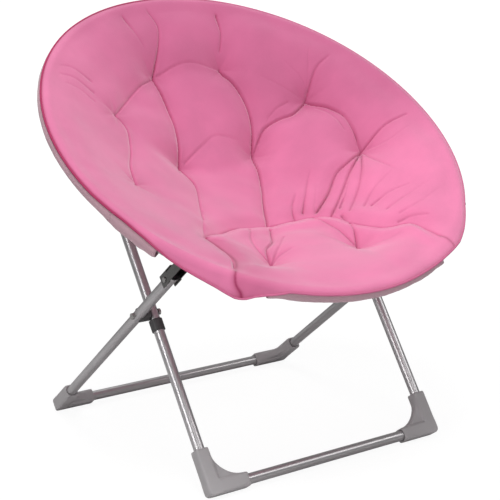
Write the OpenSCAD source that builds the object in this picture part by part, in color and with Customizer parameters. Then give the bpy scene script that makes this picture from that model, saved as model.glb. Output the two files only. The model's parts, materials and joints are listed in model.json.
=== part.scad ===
// Folding saucer chair: two crossing U-shaped leg frames, a round seat frame of two hinged hoops
// and a tufted bowl cushion. Front of the chair is -Y, the floor is z = 0.

/* [Tube] */
// Outer diameter of the leg and hoop tubes
tube_d = 19; // [16:0.5:25]
// Wall of the tubes
tube_wall = 1.2; // [0.8:0.1:2]

/* [Leg frames] */
// Height of the crossing bolts above the floor
pivot_h = 279; // [240:1:320]
// From the crossing bolts forward to the front floor bar
front_reach = 188; // [160:1:220]
// From the crossing bolts back to the rear floor bar
rear_reach = 341; // [300:1:370]
// Height of the floor bars' axes
bar_h = 16; // [15:0.5:18]
// How far the front frame's legs stand inside the ring's radius
side_in = 151.4; // [130:0.2:170]

/* [Seat ring] */
// Radius of the hoop tubes' centre line
ring_r = 392; // [375:1:405]
// Tilt of the ring's plane, up towards the back
ring_tilt = 35; // [32:0.5:38]
// Front pivots inside the front hoop, measured in the ring's plane
seat_in = 24; // [18:0.1:30]
// Front pivots below the ring's plane
seat_drop = 20.2; // [18:0.1:26]
// Back pivots inside the back hoop, measured in the ring's plane
top_in = 11.3; // [0:0.1:30]
// Back pivots below the ring's plane
top_drop = 61.9; // [50:0.1:75]
// Hoop hinge in front of the ring centre, measured in the ring's plane
hinge_front = 100; // [80:1:115]
// Thickness of the cloth sleeves on the hoops
sleeve_t = 1.8; // [1:0.1:3]

/* [Cushion] */
// Depth of the bowl from the ring's plane to the cushion's top at the middle
bowl_depth = 138; // [110:1:160]
// Thickness of the cushion at the middle
cushion_t = 46; // [30:1:60]
// Height of the cushion's rim above the ring's plane
rim_h = 9; // [4:0.5:12]
// Depth of the sewn tufts
tuft_depth = 20; // [8:1:28]
// Radius of the dimple round each tuft
tuft_r = 40; // [30:1:60]
// How far the padding swells up between its tufts and folds
swell = 9; // [0:0.5:14]
// Thickness of the backing cloth under the cushion
backing_t = 2.4; // [1.5:0.1:4]

/* [Corner feet] */
// Width of the foot's square sleeves
foot_w = 25.5; // [24.5:0.5:28]
// Length of each sleeve from the corner of the tube axes
foot_arm = 70; // [50:1:90]
// Radius of the web in the inner corner
web_r = 54; // [30:1:60]
// Thickness of that web
web_t = 15; // [8:0.5:20]
// How far each tube stops short of the corner of the axes
tube_stop = 14; // [12:0.5:20]

/* [Fittings] */
// Diameter of the pivot bolts
bolt_d = 6; // [5:0.5:8]
// Thickness of the spacer between the crossing legs
spacer_t = 9.9; // [7:0.1:14]
// Sheet thickness of the leg brackets
bracket_t = 2; // [1.5:0.1:3]
// Thickness of the lugs and hinge tongues on the hoops
lug_t = 3; // [2:0.1:4]

/* [Hidden] */
$fn = 48;

tube_r = tube_d / 2;
run_gap = 0.05;      // radial clearance of a turning bolt
near_gap = 0.3;      // clearance between pieces that only lie against each other
cut = 1;             // overrun of every cut
steel = [0.58, 0.57, 0.58];
zinc = [0.75, 0.74, 0.72];
plastic = [0.5, 0.49, 0.5];
black = [0.12, 0.12, 0.13];
pink = [0.91, 0.5, 0.66];
dusty = [0.73, 0.6, 0.64];

sleeve_r = tube_r + near_gap + sleeve_t;
bolt_r = bolt_d / 2;
head_share = 1.9;    // bolt head's radius
head_t_share = 1.4;  // bolt head's thickness
head_r = bolt_r * head_share;
head_t = bolt_r * head_t_share;
socket_gap = 0.1;    // clearance of a tube in its socket
foot_edge = foot_w / 8;     // edge radius of the feet

// The two leg frames, which cross side by side
front_half_w = ring_r - side_in;
rear_half_w = front_half_w + tube_d + spacer_t;
front_leg_len = sqrt(pow(front_reach, 2) + pow(pivot_h - bar_h, 2));
rear_leg_len = sqrt(pow(rear_reach, 2) + pow(pivot_h - bar_h, 2));
front_slope = atan2(pivot_h - bar_h, front_reach);
rear_slope = atan2(pivot_h - bar_h, rear_reach);
plate_in = rear_half_w - tube_r - socket_gap - bracket_t;
plate_out = rear_half_w + tube_r + socket_gap;

// The hoops' pivots in the ring's own plane: s up the slope, n square to it
seat_lug_x = plate_out + bracket_t + near_gap;
back_lug_x = front_half_w + tube_r + 3 * near_gap + lug_t;
seat_hoop_s = -sqrt(pow(ring_r, 2) - pow(seat_lug_x + lug_t / 2, 2));
back_hoop_s = sqrt(pow(ring_r, 2) - pow(back_lug_x + lug_t / 2, 2));
seat_s = seat_hoop_s + seat_in;
seat_n = -seat_drop;
top_s = back_hoop_s - top_in;
top_n = -top_drop;

// The upper arms of the legs reach those pivots, and the ring hangs between them
pivot_span = norm([top_s - seat_s, top_n - seat_n]);
span_slope = ring_tilt + atan2(top_n - seat_n, top_s - seat_s);
rear_arm = pivot_span * sin(front_slope - span_slope) / sin(front_slope + rear_slope);
front_arm = pivot_span * sin(span_slope + rear_slope) / sin(front_slope + rear_slope);
ring_back = -rear_arm * cos(rear_slope) - seat_s * cos(ring_tilt) + seat_n * sin(ring_tilt);
ring_h = pivot_h + rear_arm * sin(rear_slope) - seat_s * sin(ring_tilt) - seat_n * cos(ring_tilt);
hinge_s = -hinge_front;
hinge_x = sqrt(pow(ring_r, 2) - pow(hinge_s, 2));
hinge_phi = asin(hinge_front / ring_r);

// The middle of the footprint in y: from the front of the ring to the back of the rear feet
foot_back = rear_reach + (foot_w / 2 - foot_edge) * (sin(rear_slope) + cos(rear_slope)) + foot_edge;
ring_front = ring_back - ring_r * cos(ring_tilt) - sleeve_r;
mid_y = (foot_back + ring_front) / 2;

module placed() translate([0, -mid_y, 0]) children();
module in_ring() placed() translate([0, ring_back, ring_h]) rotate([ring_tilt, 0, 0]) children();
module front_frame() placed() translate([0, 0, pivot_h]) rotate([front_slope - 90, 0, 0]) children();
module rear_frame() placed() translate([0, 0, pivot_h]) rotate([90 - rear_slope, 0, 0]) children();
module mirrored(side) mirror([side < 0 ? 1 : 0, 0, 0]) children();
module both_sides() for (side = [-1, 1]) mirrored(side) children();
module along_x(x0, x1, r) translate([x0, 0, 0]) rotate([0, 90, 0]) cylinder(h = x1 - x0, r = r);

module tube(z0, z1) translate([0, 0, z0]) difference() {
    cylinder(h = z1 - z0, r = tube_r);
    translate([0, 0, -cut]) cylinder(h = z1 - z0 + 2 * cut, r = tube_r - tube_wall);
}

module rounded_square(w, r) {
    square([w, w - 2 * r], center = true);
    square([w - 2 * r, w], center = true);
    for (i = [-1, 1], j = [-1, 1]) translate([i * (w / 2 - r), j * (w / 2 - r)]) circle(r);
}

// A flat bar with round ends between two points
module link2d(p, q, r) {
    d = q - p;
    translate(p) circle(r);
    translate(q) circle(r);
    translate(p) rotate(atan2(d.y, d.x)) translate([0, -r]) square([norm(d), 2 * r]);
}

// A lug from the wall of a tube at p out to a hole at q
module lug2d(p, q, r) {
    d = q - p;
    translate(q) circle(r);
    translate(p) rotate(atan2(d.y, d.x)) difference() {
        translate([tube_r / 2, -r]) square([norm(d) - tube_r / 2, 2 * r]);
        circle(tube_r - tube_wall / 2);
    }
}

// A plate square to X whose outline is drawn in (y, z)
module plate(x0, t) translate([x0, 0, 0]) rotate([90, 0, 90]) linear_extrude(t) children();

module leg(half_w, leg_len, top, hole) translate([half_w, 0, 0]) difference() {
    tube(tube_stop - leg_len, top);
    along_x(-foot_w, foot_w, hole);
    children();
}

// Corner foot, drawn with its leg sleeve up z and its bar sleeve out along x
foot_corner_r = foot_w / 3;
module foot_outline() {
    translate([foot_corner_r - foot_w / 2, -foot_w / 2]) square(foot_arm + foot_w);
    translate([-foot_w / 2, foot_corner_r - foot_w / 2]) square(foot_arm + foot_w);
    translate([1, 1] * (foot_corner_r - foot_w / 2)) circle(foot_corner_r);
}
module foot_shape() difference() {
    union() {
        intersection() {
            union() {
                translate([0, 0, -foot_w / 2]) linear_extrude(foot_arm + foot_w / 2)
                    rounded_square(foot_w, foot_edge);
                translate([-foot_w / 2, 0, 0]) rotate([0, 90, 0]) linear_extrude(foot_arm + foot_w / 2)
                    rounded_square(foot_w, foot_edge);
            }
            translate([0, foot_w, 0]) rotate([90, 0, 0]) linear_extrude(2 * foot_w) foot_outline();
        }
        translate([0, web_t / 2, 0]) rotate([90, 0, 0]) linear_extrude(web_t) difference() {
            square(tube_r + web_r);
            translate([1, 1] * (foot_w / 2 + web_r)) circle(web_r);
        }
    }
    translate([0, 0, tube_stop]) cylinder(h = foot_arm + foot_w, r = tube_r + socket_gap);
    translate([tube_stop, 0, 0]) rotate([0, 90, 0]) cylinder(h = foot_arm + foot_w, r = tube_r + socket_gap);
}
module foot(half_w, leg_len) translate([half_w, 0, -leg_len]) mirror([1, 0, 0]) foot_shape();
module floor_cut() translate([-ring_r, -ring_r, -2 * foot_w]) cube([2 * ring_r, 2 * ring_r, 2 * foot_w]);
module standing_foot() difference() {
    children();
    placed() floor_cut();
}
module floor_bar(half_w, leg_len) translate([tube_stop - half_w, 0, -leg_len]) rotate([0, 90, 0])
    tube(0, 2 * (half_w - tube_stop));

// Plug that closes the top of a leg tube
cap_t = 2.5;
cap_depth = 10;
module cap(half_w, top) translate([half_w, 0, top]) {
    cylinder(h = cap_t, r = tube_r);
    translate([0, 0, -cap_depth]) cylinder(h = cap_depth + cap_t / 2, r = tube_r - tube_wall);
}

// Front leg frame
front_top = front_arm + tube_r + cap_t;
clip_wall = 2.6;
clip_top = 14;
clip_h = 21;
module front_leg(side) color(steel) front_frame() mirrored(side)
    leg(front_half_w, front_leg_len, front_top, bolt_r + run_gap);
module front_leg_left() front_leg(-1);
module front_leg_right() front_leg(1);
module front_bar() color(steel) front_frame() floor_bar(front_half_w, front_leg_len);
module foot_front(side) color(plastic) standing_foot() front_frame() mirrored(side)
    foot(front_half_w, front_leg_len);
module foot_front_left() foot_front(-1);
module foot_front_right() foot_front(1);
module front_leg_caps() color(black) front_frame() both_sides() cap(front_half_w, front_top);
module leg_clips() color(plastic) front_frame() both_sides() translate([front_half_w, 0, -clip_top - clip_h])
    difference() {
        cylinder(h = clip_h, r = tube_r + clip_wall);
        translate([0, 0, -cut]) cylinder(h = clip_h + 2 * cut, r = tube_r + socket_gap);
    }

// Rear leg frame
bracket_reach = 57;      // from the tube's end to the hoop pivot
bracket_grip = 26;       // length of tube held between the plates
bracket_r = 9.8;         // half width of the plates
bracket_tip_r = 8;       // half width beyond the tube
rivet_back = 13;         // rivet from the tube's end
rivet_head_share = 0.8;
rear_top = rear_arm - bracket_reach;
module rear_leg(side) color(steel) rear_frame() mirrored(side)
    leg(rear_half_w, rear_leg_len, rear_top, bolt_r)
        translate([0, 0, rear_top - rivet_back]) along_x(-foot_w, foot_w, bolt_r);
module rear_leg_left() rear_leg(-1);
module rear_leg_right() rear_leg(1);
module rear_bar() color(steel) rear_frame() floor_bar(rear_half_w, rear_leg_len);
module foot_rear(side) color(plastic) standing_foot() rear_frame() mirrored(side)
    foot(rear_half_w, rear_leg_len);
module foot_rear_left() foot_rear(-1);
module foot_rear_right() foot_rear(1);
module rear_leg_caps() color(black) rear_frame() both_sides() cap(rear_half_w, rear_top);

module bracket_plate(x0) plate(x0, bracket_t) difference() {
    union() {
        translate([-bracket_r, rear_top - bracket_grip]) square([2 * bracket_r, bracket_grip]);
        link2d([0, rear_top], [0, rear_arm], bracket_tip_r);
    }
    translate([0, rear_arm]) circle(bolt_r);
    translate([0, rear_top - rivet_back]) circle(bolt_r);
}
module leg_bracket(side) color(zinc) rear_frame() mirrored(side) {
    bracket_plate(plate_in);
    bracket_plate(plate_out);
    translate([plate_in, tube_r + socket_gap, rear_top - bracket_grip])
        cube([plate_out - plate_in + bracket_t, bracket_t, bracket_grip + bracket_reach / 3]);
}
module leg_bracket_left() leg_bracket(-1);
module leg_bracket_right() leg_bracket(1);
module bracket_rivets() color(zinc) rear_frame() both_sides() translate([0, 0, rear_top - rivet_back]) {
    along_x(plate_in, plate_out + bracket_t, bolt_r);
    along_x(plate_in - head_t / 2, plate_in, head_r * rivet_head_share);
    along_x(plate_out + bracket_t, plate_out + bracket_t + head_t / 2, head_r * rivet_head_share);
}

// Crossing bolts: head outside, spacer between the legs, nut inside
module crossing() rear_frame() both_sides() children();
module crossing_bolts() color(zinc) crossing() {
    along_x(front_half_w - tube_r - head_t, rear_half_w + tube_r, bolt_r);
    along_x(rear_half_w + tube_r, rear_half_w + tube_r + head_t, head_r);
}
module crossing_spacers() color(plastic) crossing() difference() {
    along_x(front_half_w + tube_r + near_gap, rear_half_w, foot_w / 2);
    translate([rear_half_w, 0, -foot_w]) cylinder(h = 2 * foot_w, r = tube_r + socket_gap);
    along_x(front_half_w, rear_half_w + cut, bolt_r);
}
module crossing_nuts() color(zinc) crossing() difference() {
    along_x(front_half_w - tube_r - near_gap - head_t, front_half_w - tube_r - near_gap, head_r);
    along_x(front_half_w - foot_w, front_half_w, bolt_r);
}

// Pivots between the rear frame's brackets and the front hoop's lugs
module at_seat_pivot() rear_frame() both_sides() translate([0, 0, rear_arm]) children();
module seat_pivot_bolts() color(zinc) at_seat_pivot() {
    along_x(plate_in - head_t, plate_in, head_r);
    along_x(plate_in, seat_lug_x + lug_t + near_gap + head_t, bolt_r);
}
module seat_pivot_nuts() color(zinc) at_seat_pivot() difference() {
    along_x(seat_lug_x + lug_t + near_gap, seat_lug_x + lug_t + near_gap + head_t, head_r);
    along_x(seat_lug_x, seat_lug_x + foot_w, bolt_r);
}

// Hoops, drawn in the ring's own frame: x across, y up the slope, z square to the ring
function arc_deg(len) = len / ring_r * 180 / PI;
hoop_end = 34;        // the round tube stops this far from the hinge
flat_end = 12;        // its flattened end stops this far from the hinge
flat_w = 5;           // flattened tube, thickness
flat_h = tube_d - tube_wall; // flattened tube, height
tongue_r = 9;         // half width of the hinge tongues
lug_r = 8;            // half width of the lugs
washer_share = 1.3;   // washer's radius against a bolt head's
tongue_share = 1.4;   // tongue's length against the gap it bridges
module arc(phi0, phi1) rotate([0, 0, phi0]) rotate_extrude(angle = phi1 - phi0, $fn = 90)
    translate([ring_r, 0]) children();
module hoop_tube(phi0, phi1) arc(phi0, phi1) difference() {
    circle(tube_r, $fn = 24);
    circle(tube_r - tube_wall, $fn = 20);
}
module sleeve(phi0, phi1) arc(phi0, phi1) difference() {
    circle(sleeve_r, $fn = 28);
    circle(tube_r + near_gap, $fn = 24);
}
// one end of a hoop at the hinge of the right side; dir is 1 for the back hoop
module hoop_end_piece(dir, x0, hole) difference() {
    union() {
        plate(x0, lug_t) link2d([hinge_s, 0], [hinge_s + dir * flat_end * tongue_share, 0], tongue_r);
        if (dir > 0) arc(arc_deg(flat_end) - hinge_phi, arc_deg(hoop_end + cut) - hinge_phi)
            square([flat_w, flat_h], center = true);
        else arc(-arc_deg(hoop_end + cut) - hinge_phi, -arc_deg(flat_end) - hinge_phi)
            square([flat_w, flat_h], center = true);
    }
    translate([0, hinge_s, 0]) along_x(x0 - cut, x0 + lug_t + cut, hole);
}
back_tongue_x = hinge_x + near_gap / 2;
front_tongue_x = hinge_x - near_gap / 2 - lug_t;

seat_lug_phi = acos((seat_lug_x + lug_t / 2) / ring_r);
back_lug_phi = acos((back_lug_x + lug_t / 2) / ring_r);

module front_hoop() color(steel) in_ring() {
    hoop_tube(180 + hinge_phi + arc_deg(hoop_end), 360 - hinge_phi - arc_deg(hoop_end));
    both_sides() hoop_end_piece(-1, front_tongue_x, bolt_r + run_gap);
    both_sides() difference() {
        plate(seat_lug_x, lug_t) lug2d([seat_hoop_s, -tube_r / 3], [seat_s, seat_n], lug_r);
        translate([0, seat_s, seat_n]) along_x(seat_lug_x - cut, seat_lug_x + lug_t + cut, bolt_r + run_gap);
    }
}
module back_hoop() color(steel) in_ring() {
    hoop_tube(-hinge_phi + arc_deg(hoop_end), 180 + hinge_phi - arc_deg(hoop_end));
    both_sides() hoop_end_piece(1, back_tongue_x, bolt_r);
    both_sides() difference() {
        plate(back_lug_x, lug_t) lug2d([back_hoop_s, 0], [top_s, top_n], lug_r);
        translate([0, top_s, top_n]) along_x(back_lug_x - cut, back_lug_x + lug_t + cut, bolt_r);
    }
}
module hinge_rivets() color(zinc) in_ring() both_sides() translate([0, hinge_s, 0]) {
    along_x(front_tongue_x - near_gap, back_tongue_x + lug_t, bolt_r);
    along_x(front_tongue_x - near_gap - head_t / 2, front_tongue_x - near_gap, head_r);
    along_x(back_tongue_x + lug_t, back_tongue_x + lug_t + head_t / 2, head_r);
}
module back_lug_bolts() color(zinc) in_ring() both_sides() translate([0, top_s, top_n]) {
    along_x(back_lug_x - lug_t, back_lug_x + lug_t, bolt_r);
    along_x(back_lug_x + lug_t, back_lug_x + lug_t + head_t, head_r);
}
module back_lug_washers() color(black) in_ring() both_sides() translate([0, top_s, top_n]) difference() {
    along_x(back_lug_x - lug_t, back_lug_x, head_r * washer_share);
    along_x(back_lug_x - lug_t - cut, back_lug_x + cut, bolt_r);
}

// Cloth sleeves: open where a lug leaves the hoop and at the hinges
sleeve_end = 45;      // from the hinge
lug_open = 30;        // half the opening for a back lug
side_sleeve_end = 52; // side sleeve stops this far before the seat lug
front_sleeve_end = 132; // front sleeve starts this far after the seat lug
module front_sleeve() color(dusty) in_ring()
    sleeve(180 + seat_lug_phi + arc_deg(front_sleeve_end), 360 - seat_lug_phi - arc_deg(front_sleeve_end));
module side_sleeves() color(dusty) in_ring() both_sides()
    sleeve(-seat_lug_phi + arc_deg(side_sleeve_end), -hinge_phi - arc_deg(sleeve_end));
module back_sleeve() color(dusty) in_ring() {
    both_sides() sleeve(-hinge_phi + arc_deg(sleeve_end), back_lug_phi - arc_deg(lug_open));
    sleeve(back_lug_phi + arc_deg(lug_open), 180 - back_lug_phi - arc_deg(lug_open));
}

// Cushion: a bowl with a crowned, tufted top, cut in two on the hinge line
cush_r = ring_r - sleeve_r - 2 * near_gap;
under_rim = tube_r / 2;
split_gap = near_gap;
rim_share = 0.07;     // share of the radius over which the rim rounds off
round_share = 0.02;   // rounds the bottom of the bowl
bowl_power = 0.7;
thin_t = 1.5;         // padding left over the pivots
thin_reach = 60;
// Places of the tufts as shares of the cushion's radius
top_tuft = [0.2, 0.65];
upper_tuft = [0.57, 0.37];
side_tuft = [0.68, -0.06];
middle_tuft = [0.23, 0.18];
seat_tuft = [0.26, -0.67];
tuft_shares = [top_tuft, upper_tuft, side_tuft, middle_tuft, seat_tuft];
// Folds between the tufts, the rim and the seat, as shares of the cushion's radius
fold_shares = [[top_tuft, [0.15, 1]], [top_tuft, [0, 0.68]], [top_tuft, middle_tuft], [upper_tuft, middle_tuft],
    [upper_tuft, side_tuft], [upper_tuft, [0.76, 0.55]], [side_tuft, [1, 0.03]], [side_tuft, [0.3, -0.33]],
    [middle_tuft, [0.1, -0.3]], [seat_tuft, [0.3, -0.36]]];
fold_depth = 12;
fold_w = 20;
// The edge of the seat panel, from the middle of its back round to the rim
seat_edge_shares = [[0, -0.32], [0.3, -0.37], [0.5, -0.5], [0.6, -0.85]];
crease_w = 22;
crease_depth = 20;
rim_fade_share = 4;   // tufts, folds and swell run out towards the rim
function bowl(q) = (1 - pow((q * q + round_share) / (1 + round_share), bowl_power))
    / (1 - pow(round_share / (1 + round_share), bowl_power));
function rim_drop(q) = q < 1 - rim_share ? 0 :
    rim_h * (1 - sqrt(max(0, 1 - pow((q - 1 + rim_share) / rim_share, 2))));
function seg_gap(p, a, b) = let (d = b - a, t = max(0, min(1, (p - a) * d / (d * d)))) norm(p - a - t * d);
function dent(gap, w) = exp(-pow(gap / w, 2));
function tufts(p) = max([for (t = tuft_shares) dent(norm(p - t * cush_r), tuft_r)]);
function folds(p) = max([for (f = fold_shares) dent(seg_gap(p, f[0] * cush_r, f[1] * cush_r), fold_w)]);
function crease(p) = max([for (i = [1:len(seat_edge_shares) - 1])
    dent(seg_gap(p, seat_edge_shares[i - 1] * cush_r, seat_edge_shares[i] * cush_r), crease_w)]);
function top_n_at(x, s) = let (q = min(1, norm([x, s]) / cush_r), p = [abs(x), s])
    rim_h - (bowl_depth + rim_h) * bowl(q) - rim_drop(q) + min(1, rim_fade_share * (1 - q))
    * (swell - max(tuft_depth * tufts(p), fold_depth * folds(p), crease_depth * crease(p)));
// the padding thins out over the pivots of the front hoop
function over_pivot(x, s) = exp(-pow(norm([abs(x) - seat_lug_x, s - seat_s]) / thin_reach, 4));
function under_n_at(x, s) = let (q = min(1, norm([x, s]) / cush_r),
        low = -under_rim - (bowl_depth + cushion_t - under_rim) * bowl(q))
    low + over_pivot(x, s) * max(0, top_n_at(x, s) - thin_t - low);
// distance from the point (0, s0) to the cushion's edge in the direction a
function reach(s0, a) = -s0 * sin(a) + sqrt(pow(cush_r, 2) - pow(s0 * cos(a), 2));
// two stacked surfaces over a fan of rays from (0, s0), closed into one solid
rings = 13;
cols = 32;
fan_power = 1.4;      // draws the rings together towards the rim
module fan_solid(s0, a0, upper, lift) {
    function spot(k, i) = let (a = a0 + 180 * i / cols, r = (1 - pow(1 - k / rings, fan_power)) * reach(s0, a))
        [r * cos(a), s0 + r * sin(a)];
    function height(p, top) = top ? (upper ? top_n_at(p.x, p.y) : under_n_at(p.x, p.y) - lift)
        : under_n_at(p.x, p.y) - (upper ? 0 : lift + backing_t);
    flat = [for (k = [1:rings], i = [0:cols]) spot(k, i)];
    mid = [0, s0];
    n1 = len(flat);
    points = concat([for (p = flat) [p.x, p.y, height(p, true)]], [[mid.x, mid.y, height(mid, true)]],
        [for (p = flat) [p.x, p.y, height(p, false)]], [[mid.x, mid.y, height(mid, false)]]);
    row = cols + 1;
    function at(k, i, low) = (k == 0 ? n1 : (k - 1) * row + i) + (low ? n1 + 1 : 0);
    faces = concat(
        [for (i = [0:cols - 1]) [at(0, i, false), at(1, i + 1, false), at(1, i, false)]],
        [for (i = [0:cols - 1]) [at(0, i, true), at(1, i, true), at(1, i + 1, true)]],
        [for (k = [1:rings - 1], i = [0:cols - 1], h = [0, 1]) h == 0
            ? [at(k, i, false), at(k + 1, i + 1, false), at(k + 1, i, false)]
            : [at(k, i, false), at(k, i + 1, false), at(k + 1, i + 1, false)]],
        [for (k = [1:rings - 1], i = [0:cols - 1], h = [0, 1]) h == 0
            ? [at(k, i, true), at(k + 1, i, true), at(k + 1, i + 1, true)]
            : [at(k, i, true), at(k + 1, i + 1, true), at(k, i + 1, true)]],
        [for (i = [0:cols - 1], h = [0, 1]) h == 0
            ? [at(rings, i, false), at(rings, i + 1, false), at(rings, i + 1, true)]
            : [at(rings, i, false), at(rings, i + 1, true), at(rings, i, true)]],
        [for (k = [0:rings - 1], h = [0, 1]) h == 0
            ? [at(k, 0, false), at(k + 1, 0, false), at(k + 1, 0, true)]
            : [at(k, 0, false), at(k + 1, 0, true), at(k, 0, true)]],
        [for (k = [0:rings - 1], h = [0, 1]) h == 0
            ? [at(k, cols, false), at(k + 1, cols, true), at(k + 1, cols, false)]
            : [at(k, cols, false), at(k, cols, true), at(k + 1, cols, true)]]);
    polyhedron(points = points, faces = faces, convexity = 6);
}
module back_cushion() color(pink) in_ring() fan_solid(hinge_s + split_gap, 0, true, 0);
module seat_cushion() color(pink) in_ring() fan_solid(hinge_s - split_gap, 180, true, 0);
backing_gap = 2 * near_gap;
module back_backing() color(dusty) in_ring() fan_solid(hinge_s + split_gap, 0, false, backing_gap);
module seat_backing() color(dusty) in_ring() fan_solid(hinge_s - split_gap, 180, false, backing_gap);

front_leg_left();
front_leg_right();
front_bar();
foot_front_left();
foot_front_right();
leg_clips();
front_leg_caps();
rear_leg_left();
rear_leg_right();
rear_bar();
foot_rear_left();
foot_rear_right();
leg_bracket_left();
leg_bracket_right();
bracket_rivets();
rear_leg_caps();
crossing_bolts();
crossing_spacers();
crossing_nuts();
seat_pivot_bolts();
seat_pivot_nuts();
front_hoop();
front_sleeve();
side_sleeves();
seat_cushion();
seat_backing();
back_hoop();
back_sleeve();
back_cushion();
back_backing();
hinge_rivets();
back_lug_bolts();
back_lug_washers();
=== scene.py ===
"""A folding saucer chair: its cushion, cloth, paint and plastic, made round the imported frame."""

import json
import math

import bmesh
import bpy
import numpy as np
from bpy.props import FloatProperty, FloatVectorProperty, IntProperty, PointerProperty
from mathutils import Matrix, Vector, noise

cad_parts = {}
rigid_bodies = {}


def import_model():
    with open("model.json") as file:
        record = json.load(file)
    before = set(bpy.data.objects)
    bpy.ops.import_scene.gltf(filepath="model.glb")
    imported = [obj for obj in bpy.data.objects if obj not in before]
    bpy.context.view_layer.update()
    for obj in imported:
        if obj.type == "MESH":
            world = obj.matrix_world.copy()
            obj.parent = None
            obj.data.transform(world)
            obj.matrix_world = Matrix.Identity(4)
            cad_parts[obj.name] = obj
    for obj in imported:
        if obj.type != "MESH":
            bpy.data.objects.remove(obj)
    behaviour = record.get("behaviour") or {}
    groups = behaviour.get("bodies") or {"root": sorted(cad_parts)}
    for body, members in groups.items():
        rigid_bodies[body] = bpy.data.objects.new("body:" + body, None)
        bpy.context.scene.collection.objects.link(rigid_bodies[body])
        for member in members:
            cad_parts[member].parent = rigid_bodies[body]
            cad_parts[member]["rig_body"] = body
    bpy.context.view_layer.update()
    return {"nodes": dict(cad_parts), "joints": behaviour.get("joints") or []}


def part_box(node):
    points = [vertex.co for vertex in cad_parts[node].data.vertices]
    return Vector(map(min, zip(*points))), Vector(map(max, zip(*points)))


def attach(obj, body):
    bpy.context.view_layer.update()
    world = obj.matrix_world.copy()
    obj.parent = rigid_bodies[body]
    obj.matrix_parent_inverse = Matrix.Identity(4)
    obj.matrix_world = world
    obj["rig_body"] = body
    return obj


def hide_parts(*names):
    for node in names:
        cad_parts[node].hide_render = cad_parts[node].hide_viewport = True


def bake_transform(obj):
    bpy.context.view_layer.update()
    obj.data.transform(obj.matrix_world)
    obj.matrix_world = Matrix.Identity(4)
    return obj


bl_info = {
    "name": "Folding Saucer Chair",
    "version": (1, 0, 0),
    "blender": (4, 5, 0),
    "location": "3D View > Sidebar > Saucer Chair",
    "description": "Makes the pieces of a folding saucer chair round its packed frame",
    "category": "Add Mesh",
}

MM = 0.001
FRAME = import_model()
JOINTS = {joint["name"]: Vector(joint["pos_m"]) for joint in FRAME["joints"]}


def middle(node):
    """The middle of a CAD node's box."""
    low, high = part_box(node)
    return (low + high) / 2


# The camera's place is measured with y = 0 at the crossing of the legs
CROSSING = middle("crossing_bolts")


def size_property(name, description, default):
    return FloatProperty(name=name, description=description, default=default, unit="LENGTH")


def colour_property(name, description, default):
    return FloatVectorProperty(name=name, description=description, default=default, subtype="COLOR", size=3)


class ChairSizes(bpy.types.PropertyGroup):
    """The sizes that shape the soft parts of the chair."""

    ring_tilt: FloatProperty(
        name="Ring tilt",
        description="Slope of the seat ring, up towards the back",
        default=math.radians(35),
        subtype="ANGLE",
    )
    ring_radius: size_property("Ring radius", "Radius of the hoops' centre line", 392 * MM)
    hinge_front: size_property(
        "Hinge from centre", "How far the hoops' hinge lies in front of the ring's centre", 100 * MM
    )
    sleeve_radius: size_property("Sleeve radius", "Outer radius of the sleeves on the hoops", 11.6 * MM)
    bowl_depth: size_property(
        "Bowl depth", "From the ring's plane down to the cushion's top at the middle", 138 * MM
    )
    bowl_radius: size_property("Bowl radius", "Radius of the bowl inside the sleeves", 379.8 * MM)
    padding: size_property("Padding", "Thickness of the cushion at its middle", 46 * MM)
    tuft_depth: size_property("Tuft depth", "Depth of the sewn tufts", 20 * MM)
    cells: IntProperty(
        name="Cells",
        description="Mesh cells across the cushion before it is subdivided",
        default=90,
        min=40,
        max=200,
    )


class ChairColours(bpy.types.PropertyGroup):
    """The colours of the chair's finishes."""

    velvet: colour_property("Velvet", "Pink short-pile velvet of the cushion", (0.69, 0.17, 0.33))
    # Painted shade: mixed into the velvet where it dips into a tuft or a fold
    crease_shade: colour_property("Crease", "Velvet where it dips into a tuft or a fold", (0.32, 0.008, 0.075))
    backing: colour_property("Backing", "Dusty pink cloth of the backing and sleeves", (0.5, 0.31, 0.36))
    # The piping's colour is painted shade for its groove, and the lit piping's is painted light on its open
    # side
    piping: colour_property("Piping", "Piping round the cushion's edge, in its groove", (0.4, 0.04, 0.12))
    lit_piping: colour_property("Lit piping", "Piping on the open side of the edge", (0.62, 0.16, 0.3))
    paint: colour_property("Tube paint", "Silver-grey paint of the tubes", (0.62, 0.6, 0.61))
    plastic: colour_property("Grey plastic", "Moulded corner feet", (0.42, 0.4, 0.41))
    clips: colour_property("Clip plastic", "Clips and spacers where the legs cross", (0.06, 0.058, 0.06))
    bracket: colour_property("Bracket steel", "Dull pressed seat brackets", (0.2, 0.195, 0.19))
    zinc: colour_property("Zinc", "Zinc-plated bolts, nuts and rivets", (0.5, 0.49, 0.48))
    black: colour_property("Black plastic", "End caps and washers", (0.012, 0.012, 0.014))


def sizes():
    return bpy.context.scene.chair_sizes


def colours():
    return bpy.context.scene.chair_colours


def ring_matrix():
    """From the ring's own frame, x across, y up the slope and z square to it, to the chair's."""
    tilt = sizes().ring_tilt
    up_slope = Vector((0, math.cos(tilt), math.sin(tilt)))
    centre = JOINTS["hoop_hinge"] + sizes().hinge_front * up_slope
    return Matrix.Translation(centre) @ Matrix.Rotation(tilt, 4, "X")


# Materials

# Where most of a noise's values lie
NOISE_SPAN = (0.3, 0.7)


def new_material(name, colour, roughness, metallic=0.0):
    material = bpy.data.materials.new(name)
    material.use_nodes = True
    shader = material.node_tree.nodes["Principled BSDF"]
    shader.inputs["Base Color"].default_value = (*colour, 1)
    shader.inputs["Roughness"].default_value = roughness
    shader.inputs["Metallic"].default_value = metallic
    return material, material.node_tree, shader


def add_node(tree, kind, settings=(), **values):
    node = tree.nodes.new(kind)
    for name, value in dict(settings).items():
        setattr(node, name, value)
    for name, value in values.items():
        node.inputs[name.replace("_", " ")].default_value = value
    return node


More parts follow.
